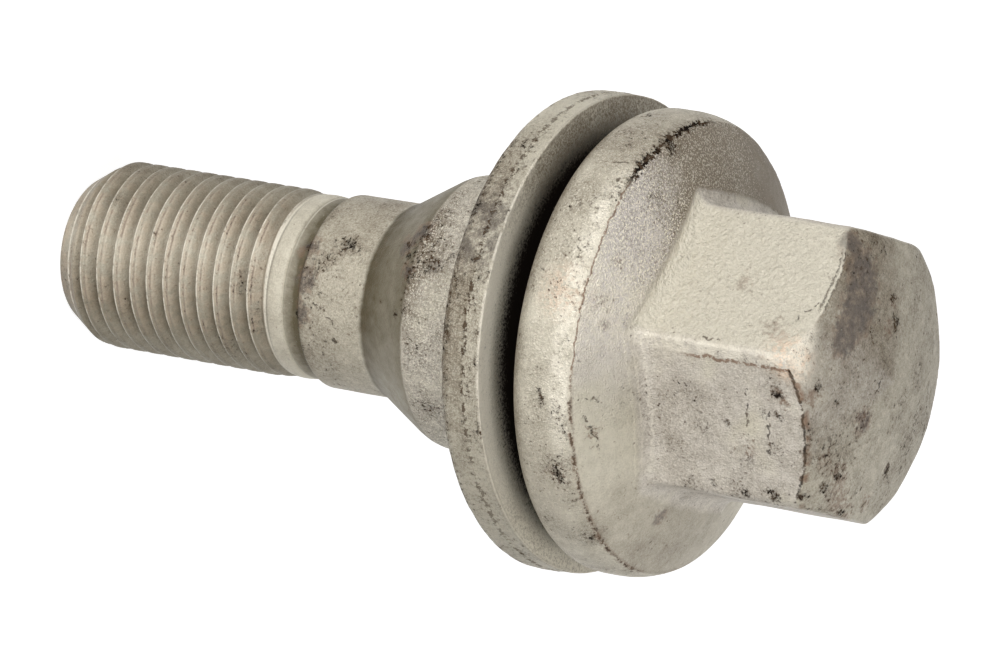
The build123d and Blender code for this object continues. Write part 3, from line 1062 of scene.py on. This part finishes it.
class BoltCoating(Surface):
    """The bolt's coating: thin, filmed, smudged and torn in places, with painted highlights and painted
    shade.
    """

    def __init__(self, look, shape):
        super().__init__("bolt_coating", look)
        paint, mottle, height = self.paint, self.mottle, self.height
        self.near_side = paint.near_side
        self.unworn = paint.bumps.ramp(0.06, 0.1)
        self.patchy = 0.3 + 0.7 * mottle.ramp(0.40, 0.56)
        self.off_crease = abs(paint.past_crease + mottle.sway(0.7))
        self.past_end = paint.past_end + mottle.sway(0.5)
        self.off_ridge = abs(self.past_end + 0.11 + self.crumbs.sway(0.5))
        on_cone = height + mottle.sway(0.25)
        self.cone = on_cone.ramp(23.2, 23.7) * on_cone.ramp(27.97, 27.73)
        self.on_thread = height.ramp(16.2, 16.1)
        crests = height / (shape.pitch / MM) - self.turn() - CREST_PHASE
        self.off_crest = self.math("FRACT", crests + 0.5) - 0.5
        seam = abs(self.off_crest - SEAM_PLACE + self.crumbs.sway(0.2)).ramp(0.08, 0.02)
        self.seam = seam * self.on_thread * mottle.ramp(0.40, 0.58) * (0.1 + 0.9 * self.near_side)

    def worn(self):
        """Colour of the coat, with thin and bare places, painted shade, and a darker band on the dome next
        to the hexagon's root on its upper side.
        """
        paint, look, unworn = self.paint, self.look, self.unworn
        past_root = (paint.from_root + self.mottle.sway(0.3)).ramp(-0.14, 0.02)
        wear = paint.wear + paint.by_root * past_root * 0.42 + self.cloud.sway(0.7) * (1 - unworn)
        wear = wear + self.mottle.sway(0.6) * paint.varied * (1 - unworn * 0.7)
        wear = wear + unworn * (0.04 - self.fine * 0.04)
        speckle = self.grit.sway(0.8) + (self.grit.sway(1.4) + self.fine.sway(2.2)) * paint.grainy
        colour = self.blend(paint.bare * self.cloud.ramp(0.2, 0.5), look.coat, look.bare)
        return self.blend(wear + speckle, colour, look.thin_coat_and_shade)

    def filmed_and_shaded(self, colour):
        """Brown layer of oil and dust with painted shade, darkest on the cone, which is partly painted
        shade of a face turned from the light.
        """
        film_and_shade = self.paint.film_and_shade + self.paint.varied * self.curls.sway(0.7) * (1 - self.unworn)
        # The cone: brown layer and painted shade, lighter up its slope and on its lower side
        cone_shade_and_film = 1 - self.height.ramp(23.6, 26.2) * 0.15 - self.paint.lower_side * 0.25
        film_and_shade = self.largest(film_and_shade, self.cone * cone_shade_and_film)
        return self.blend(film_and_shade + self.mottle.sway(0.3) * film_and_shade, colour, self.look.film_and_shade)

    def smudged(self, colour):
        """Brown blotches, and sooty smudges with a brown fringe."""
        smudge = self.paint.smudge
        sooty = (smudge * 0.8 + self.uneven).ramp(0.0, 1.1) * smudge.ramp(0, 0.5)
        fringe = (smudge * 0.7 + self.curls.sway(2.5)).ramp(0.1, 0.5) * smudge.ramp(0, 0.25)
        blotch = (self.paint.blotch + self.crumbs.sway(4.5)).ramp(0.45, 1.2)
        colour = self.blend(fringe * 0.45 + blotch * 0.6, colour, self.look.rust)
        return self.blend(sooty * 0.92, colour, self.look.soot_and_shade)

    def threaded(self, colour):
        """The thread's dark seam, painted shade in its hollows, warm crests, and the two end lines of the
        relief.
        """
        near_side, hollow = self.near_side, self.paint.hollow
        line = self.height.band(16.30, 16.42, 0.04) * near_side
        line = line + self.height.band(17.46, 17.56, 0.04) * self.paint.far_side
        colour = self.blend(self.seam * 0.8 + line * 0.45, colour, self.look.soot_and_shade)
        # Painted shade in the thread's hollows on the near side
        colour = self.blend(hollow * near_side * 0.22, colour, self.look.soot_and_shade)
        crest = (1 - hollow) * self.on_thread * near_side * self.mottle.ramp(0.35, 0.6)
        return self.blend(crest * 0.25, colour, self.look.glow)

    def dirt(self):
        """Crumbs of dirt, and dirt in the torn crease, in cracks and along the ridge, and painted shade at
        the foot of the cone.
        """
        paint, crumbs, off_crease = self.paint, self.crumbs, self.off_crease
        torn = (off_crease - (crumbs - 0.42) * 1.5).ramp(0.18, 0.06) * paint.torn
        split = (off_crease - (crumbs - 0.47) * 0.9).ramp(0.10, 0.02) * paint.stained * self.patchy
        off_end = abs(self.past_end + 0.03) * paint.cracked + (1 - paint.cracked)
        end_crack = (off_end - (crumbs - 0.45) * 0.5).ramp(0.15, 0.04) * self.mottle.ramp(0.34, 0.46)
        ridge_sides = abs(self.off_ridge - 0.17) + (1 - paint.ridged)
        return self.largest(
            self.crumbled(paint.soil + self.seam * 0.3 * self.height.ramp(4, 11)),
            torn,
            split * 0.7,
            end_crack * 0.85,
            ridge_sides.ramp(0.12, 0.04) * crumbs.ramp(0.40, 0.52) * 0.6,
            self.lines(BOLT_CRACKS, 0.12) * crumbs.ramp(0.36, 0.5) * 0.8,
            # Painted shade: black at the foot of the cone
            self.cone * self.height.ramp(25.2, 23.6) * 0.2,
        )

    def stain(self):
        """Brown stain along the crease, along the end's edge, and beside the lit corner."""
        paint, crumbs, mottle = self.paint, self.crumbs, self.mottle
        crease = self.off_crease.ramp(0.35, 0.05) * paint.stained * crumbs.ramp(0.34, 0.5) * self.patchy
        fine_crease = self.off_crease.ramp(0.13, 0.04) * paint.fine_crease * crumbs.ramp(0.36, 0.5)
        end_edge = abs(self.past_end - 0.2).ramp(0.6, 0.1) * mottle.ramp(0.4, 0.6) * paint.cracked
        beside = abs(paint.from_corner - 0.78 + mottle.sway(0.6)).ramp(0.16, 0.04) * paint.lit_corner
        beside = beside * self.past_end.ramp(0.1, 0) * self.height.ramp(47, 49) * crumbs.ramp(0.4, 0.52)
        return crease + fine_crease + end_edge + beside

    def painted_highlight(self):
        """Painted highlights on edges that catch the light: on the thread, the ring, the ridge, the flats
        and their roots.
        """
        paint, curls, mottle = self.paint, self.curls, self.mottle
        crest = self.off_crest.band(-0.30, -0.15, 0.04) * self.on_thread * curls.ramp(0.32, 0.55)
        crest = crest * (0.15 + 0.85 * self.near_side)
        ring = self.height.band(16.14, 16.28, 0.04) * self.near_side
        ring = ring + self.height.band(17.58, 17.68, 0.03) * 0.6 * paint.far_side
        ridge = self.off_ridge.ramp(0.15, 0.08) * paint.ridged * curls.ramp(0.4, 0.55)
        off_root = abs(paint.from_root + mottle.sway(0.5) + 0.1)
        off_root = self.math("MINIMUM", off_root, abs(off_root - 0.55))
        root = off_root.ramp(0.12, 0.03) * paint.scuffed * self.crumbs.ramp(0.36, 0.5)
        shine = paint.shine * self.largest(mottle.ramp(0.32, 0.55), self.unworn * 0.7)
        return shine + crest * 0.9 + ring * 0.6 + ridge * 0.22 + root * 0.28

    def material(self):
        """The whole coating."""
        paint, look, crumbs = self.paint, self.look, self.crumbs
        spark = self.sparks(paint.sparkle - self.cone * 0.4)
        shine = self.painted_highlight()
        colour = self.threaded(self.smudged(self.filmed_and_shaded(self.worn())))
        colour = self.blend(paint.glow * crumbs.ramp(0.38, 0.6) * 0.8, colour, look.glow)
        # Flakes, brightened as painted glints
        colour = self.blend(spark * (0.4 + 0.5 * paint.grainy), colour, look.painted_highlight)
        # Painted highlights
        colour = self.blend(shine, colour, look.painted_highlight)
        colour = self.blend(self.stain() * 0.85, colour, look.rust)
        bumps = ((crumbs - 0.5) + self.curls.sway(0.8)) * paint.bumps
        ridge = self.off_ridge.ramp(0.2, 0.0) * paint.ridged * 0.06
        relief = (self.grit - 0.5) * paint.grit + bumps + ridge
        roughness = look.roughness + self.mottle.sway(0.3) - spark * 0.15 - shine * 0.12
        metallic = look.metallic + spark * 0.4 + shine * 0.15
        # Painted shade: the neck between the washer and the flange is covered in black, never brown, as the
        # shadow in that gap
        gap = self.height.band(32.8, 38.9, 0.1)
        return self.close(colour, roughness, metallic, relief, self.largest(self.dirt(), gap), 1 - gap)


def washer_paint(on, across):
    """Numbers for the washer's coating at each of its points, with its painted light and shade."""
    outer = ramp(on.radius, 14.2, 14.5)
    rim = outer * (1 - ramp(across, WASHER_HALF - 0.06, WASHER_HALF - 0.01))
    seat_edge = 1 - ramp(across, 0.3 - WASHER_HALF, 1.0 - WASHER_HALF)
    near_side = on.side(-66, 36, 20)
    wear = rim * (0.10 + 0.22 * near_side) + 0.25 * seat_edge * near_side
    # Painted shade: the faces other than the rim darker on the far side and the lower side, away from the
    # light
    wear += (1 - rim) * (0.62 * on.side(-165, 80, 25) + 0.12 * on.side(20, 60, 20))
    return dict(
        wear=wear,
        # The rim's brown layer, heavier on its lower side as painted shade
        film_and_shade=rim * (0.10 + 0.14 * on.side(20, 60, 25)),
        soil=rim * (0.25 + 0.32 * seat_edge) + 0.27 * on.patches(WASHER_PATCHES),
        smudge=outer * on.side(-77, 13, 9),
        # Painted light: a lighter strip of the back face next to the rim, on the near side
        lit=(1 - rim) * ramp(on.radius, 12.8, 13.8) * on.side(-45, 35, 25),
        near_side=near_side,
        outer=outer,
        rim=rim,
        across=across,
        radius=on.radius,
    )


class WasherCoating(Surface):
    """The washer's coating: worn on its rim, darkened by painted shade towards the neck, and with a painted
    highlight on its back face.
    """

    def __init__(self, look, shape):
        super().__init__("washer_coating", look)
        break_line = WASHER_HALF - shape.break_width / MM
        self.past_break = self.paint.across + self.mottle.sway(0.35) - break_line

    def worn(self):
        """Colour of the coat, speckled, thin on the sheared band, filmed and smudged, with painted shade on
        the far and lower sides of the faces and on the rim's lower side.
        """
        paint, look, near_side, rim = self.paint, self.look, self.paint.near_side, self.paint.rim
        sheared = self.past_break.ramp(0.05, -0.05) * paint.outer
        wear = paint.wear + sheared * (0.08 + 0.3 * near_side) + self.cloud.sway(0.7)
        wear = wear + (self.mottle - 0.5) * (0.3 + 0.7 * near_side) * rim
        speckle = (self.grit - 0.5) * (1.9 - 0.6 * rim + 0.8 * near_side) + self.crumbs.sway(0.8)
        speckle = speckle + (self.fine.sway(2.0) + 0.06) * (1 - rim)
        colour = self.blend(wear + speckle, look.coat, look.thin_coat_and_shade)
        colour = self.blend(paint.film_and_shade, colour, look.film_and_shade)
        sooty = (paint.smudge * 0.7 + self.uneven).ramp(0.1, 1.0) * paint.smudge
        return self.blend(sooty * 0.75, colour, look.soot_and_shade)

    def edged(self, colour):
        """Darker on the back edge away from the near side, and a painted highlight along it, mottled and
        strongest on the near side.
        """
        across, near_side, look = self.paint.across, self.paint.near_side, self.look
        edge = across.band(WASHER_HALF - 0.18, WASHER_HALF + 0.2, 0.04)
        edge = edge * self.paint.radius.ramp(14.4, 14.6)
        colour = self.blend(edge * (1 - near_side) * 0.3, colour, look.thin_coat_and_shade)
        bright = across.band(WASHER_HALF - 0.14, WASHER_HALF, 0.03) * self.mottle.ramp(0.38, 0.5)
        # Painted highlight along the back edge
        return self.blend(bright * self.paint.outer * (0.1 + 0.45 * near_side), colour, look.painted_highlight)

    def dirt(self):
        """Crumbs of dirt, dirt where the rim broke, and painted shade that turns the back face black
        towards the neck, in the gap under the flange.
        """
        paint, crumbs = self.paint, self.crumbs
        torn = (abs(self.past_break) - (crumbs - 0.47) * 1.1).ramp(0.10, 0.03)
        torn = torn * self.curls.ramp(0.43, 0.53) * paint.outer * (0.6 + 0.3 * paint.near_side)
        # Painted shade: black from the rim inwards, where the flange shades the gap
        gap_shade = (paint.radius + self.fine.sway(1.8) + self.grit.sway(1.6)).ramp(13.75, 11.7)
        return self.largest(self.crumbled(paint.soil), torn, gap_shade)

    def material(self):
        """The whole coating."""
        paint, look = self.paint, self.look
        spark = self.sparks(0.36 + 0.1 * paint.lit)
        # Painted light on the lit strip, and the flakes' painted glints
        colour = self.blend(spark * 0.45 + paint.lit * 0.75, self.worn(), look.painted_highlight)
        relief = (self.grit - 0.5) * (0.05 + 0.06 * paint.rim) + self.mottle.sway(0.05)
        roughness = look.roughness + self.mottle.sway(0.3) - spark * 0.12
        metallic = look.metallic + spark * 0.5
        return self.close(self.edged(colour), roughness, metallic, relief, self.dirt(), paint.outer)


# ---------------------------------------------------------------- stage


# Lamps: name, azimuth and elevation in degrees, distance and size in metres, and the level's property
LAMPS = (
    ("key_light", 8, 12, 0.40, 0.28, "key"),
    ("side_light", 72, 42, 0.45, 0.30, "side"),
    ("back_light", 175, 35, 0.45, 0.30, "fill"),
)
FLOOR_HALF_WIDTH = 2.0
FLOOR_GLOW = 0.78
SENSOR_WIDTH = 36
WHITE = (1, 1, 1)


def direction(azimuth, elevation):
    """Unit vector towards a place round the bolt; azimuth 0 is in front, at -Y."""
    return Vector((sin(azimuth) * cos(elevation), -cos(azimuth) * cos(elevation), sin(elevation)))


def add_lamp(name, back, distance, size, level):
    """Square lamp that gives the light level at the bolt's middle; back points from there to it."""
    lamp = bpy.data.lights.new(name, "AREA")
    lamp.size = size
    lamp.energy = level * pi**2 * distance**2
    holder = add_object(name, lamp)
    holder.location = Vector((0, 0, CROWN_TOP / 2 * MM)) + back * distance
    holder.rotation_euler = back.to_track_quat("Z", "Y").to_euler()


def add_camera(stage):
    """Camera that looks along the view's direction, rolled about it, with the aim off its middle."""
    back = direction(stage.view_azimuth, stage.view_elevation)
    level = Vector((cos(stage.view_azimuth), sin(stage.view_azimuth), 0))
    right = Matrix.Rotation(stage.view_roll, 3, back) @ level
    up = back.cross(right)
    camera = bpy.data.cameras.new("camera")
    camera.lens = stage.lens
    camera.sensor_width = SENSOR_WIDTH
    camera.clip_start = 0.01
    camera.clip_end = 10
    holder = add_object("camera", camera)
    aside = right * stage.offset[0] + up * stage.offset[1]
    place = Vector(stage.aim) - aside + back * stage.view_distance
    holder.matrix_world = Matrix.Translation(place) @ Matrix((right, up, back)).transposed().to_4x4()
    bpy.context.scene.camera = holder


def seen_directly(nodes):
    """1 for rays from the camera, a mirror or a glass, and 0 for the light that falls on things."""
    kinds = ("Is Camera Ray", "Is Glossy Ray", "Is Transmission Ray")
    return nodes.largest(*(nodes.node("ShaderNodeLightPath", {}, {}, kind) for kind in kinds))


def floor_material(colour):
    """Floor that shows white with a soft shadow, and lights the bolt as its own colour would."""
    nodes = NodeTree(bpy.data.materials.new("floor"))
    matte = nodes.node("ShaderNodeBsdfDiffuse", {}, {"Color": colour})
    glow = nodes.node("ShaderNodeEmission", {}, {"Color": WHITE, "Strength": FLOOR_GLOW})
    lifted = nodes.node("ShaderNodeAddShader", {}, {0: matte, 1: glow})
    surface = nodes.node("ShaderNodeMixShader", {}, {0: seen_directly(nodes), 1: matte, 2: lifted})
    nodes.node("ShaderNodeOutputMaterial", {}, {"Surface": surface})
    return nodes.holder


def add_floor(colour):
    mesh = bpy.data.meshes.new("floor")
    signs = ((-1, -1), (1, -1), (1, 1), (-1, 1))
    corners = [(x * FLOOR_HALF_WIDTH, y * FLOOR_HALF_WIDTH, 0) for x, y in signs]
    mesh.from_pydata(corners, [], [(0, 1, 2, 3)])
    mesh.materials.append(floor_material(colour))
    floor = add_object("floor", mesh)


def light_world(level):
    """Even light from all round, seen as plain white."""
    nodes = NodeTree(bpy.data.worlds.new("studio"))
    strength = level + seen_directly(nodes) * (1 - level)
    sky = nodes.node("ShaderNodeBackground", {}, {"Color": WHITE, "Strength": strength})
    nodes.node("ShaderNodeOutputWorld", {}, {"Surface": sky})
    bpy.context.scene.world = nodes.holder


class WHEELBOLT_OT_stage(bpy.types.Operator):
    """Set up the floor, the lights and the camera"""

    bl_idname = "wheelbolt.stage"
    bl_label = "Stage"

    def execute(self, context):
        stage = context.scene.wheelbolt_stage
        context.scene.view_settings.view_transform = "Standard"
        light_world(stage.ambient)
        for name, azimuth, elevation, distance, size, level in LAMPS:
            back = direction(radians(azimuth), radians(elevation))
            add_lamp(name, back, distance, size, getattr(stage, level))
        add_floor(stage.floor)
        add_camera(stage)
        return {"FINISHED"}


# ---------------------------------------------------------------- add-on


OPERATORS = (WHEELBOLT_OT_stage, WHEELBOLT_OT_bolt, WHEELBOLT_OT_washer)
GROUPS = {
    "wheelbolt_stage": Stage,
    "wheelbolt_shape": BoltShape,
    "wheelbolt_washer": WasherShape,
    "wheelbolt_coating": Coating,
}


class WHEELBOLT_PT_panel(bpy.types.Panel):
    """Lists the pieces and their settings"""

    bl_idname = "WHEELBOLT_PT_panel"
    bl_label = "Wheel Bolt"
    bl_space_type = "VIEW_3D"
    bl_region_type = "UI"
    bl_category = "Wheel Bolt"

    def draw(self, context):
        for operator in OPERATORS:
            self.layout.operator(operator.bl_idname)
        for key, group in GROUPS.items():
            box = self.layout.box()
            box.label(text=group.__doc__)
            for name in group.__annotations__:
                box.prop(getattr(context.scene, key), name)


CLASSES = (*GROUPS.values(), *OPERATORS, WHEELBOLT_PT_panel)


def register():
    for each in CLASSES:
        bpy.utils.register_class(each)
    for key, group in GROUPS.items():
        setattr(bpy.types.Scene, key, PointerProperty(type=group))


def unregister():
    for key in GROUPS:
        delattr(bpy.types.Scene, key)
    for each in reversed(CLASSES):
        bpy.utils.unregister_class(each)


def main():
    register()
    bpy.ops.wheelbolt.stage()
    bpy.ops.wheelbolt.bolt()
    bpy.ops.wheelbolt.washer()


if __name__ == "__main__":
    main()
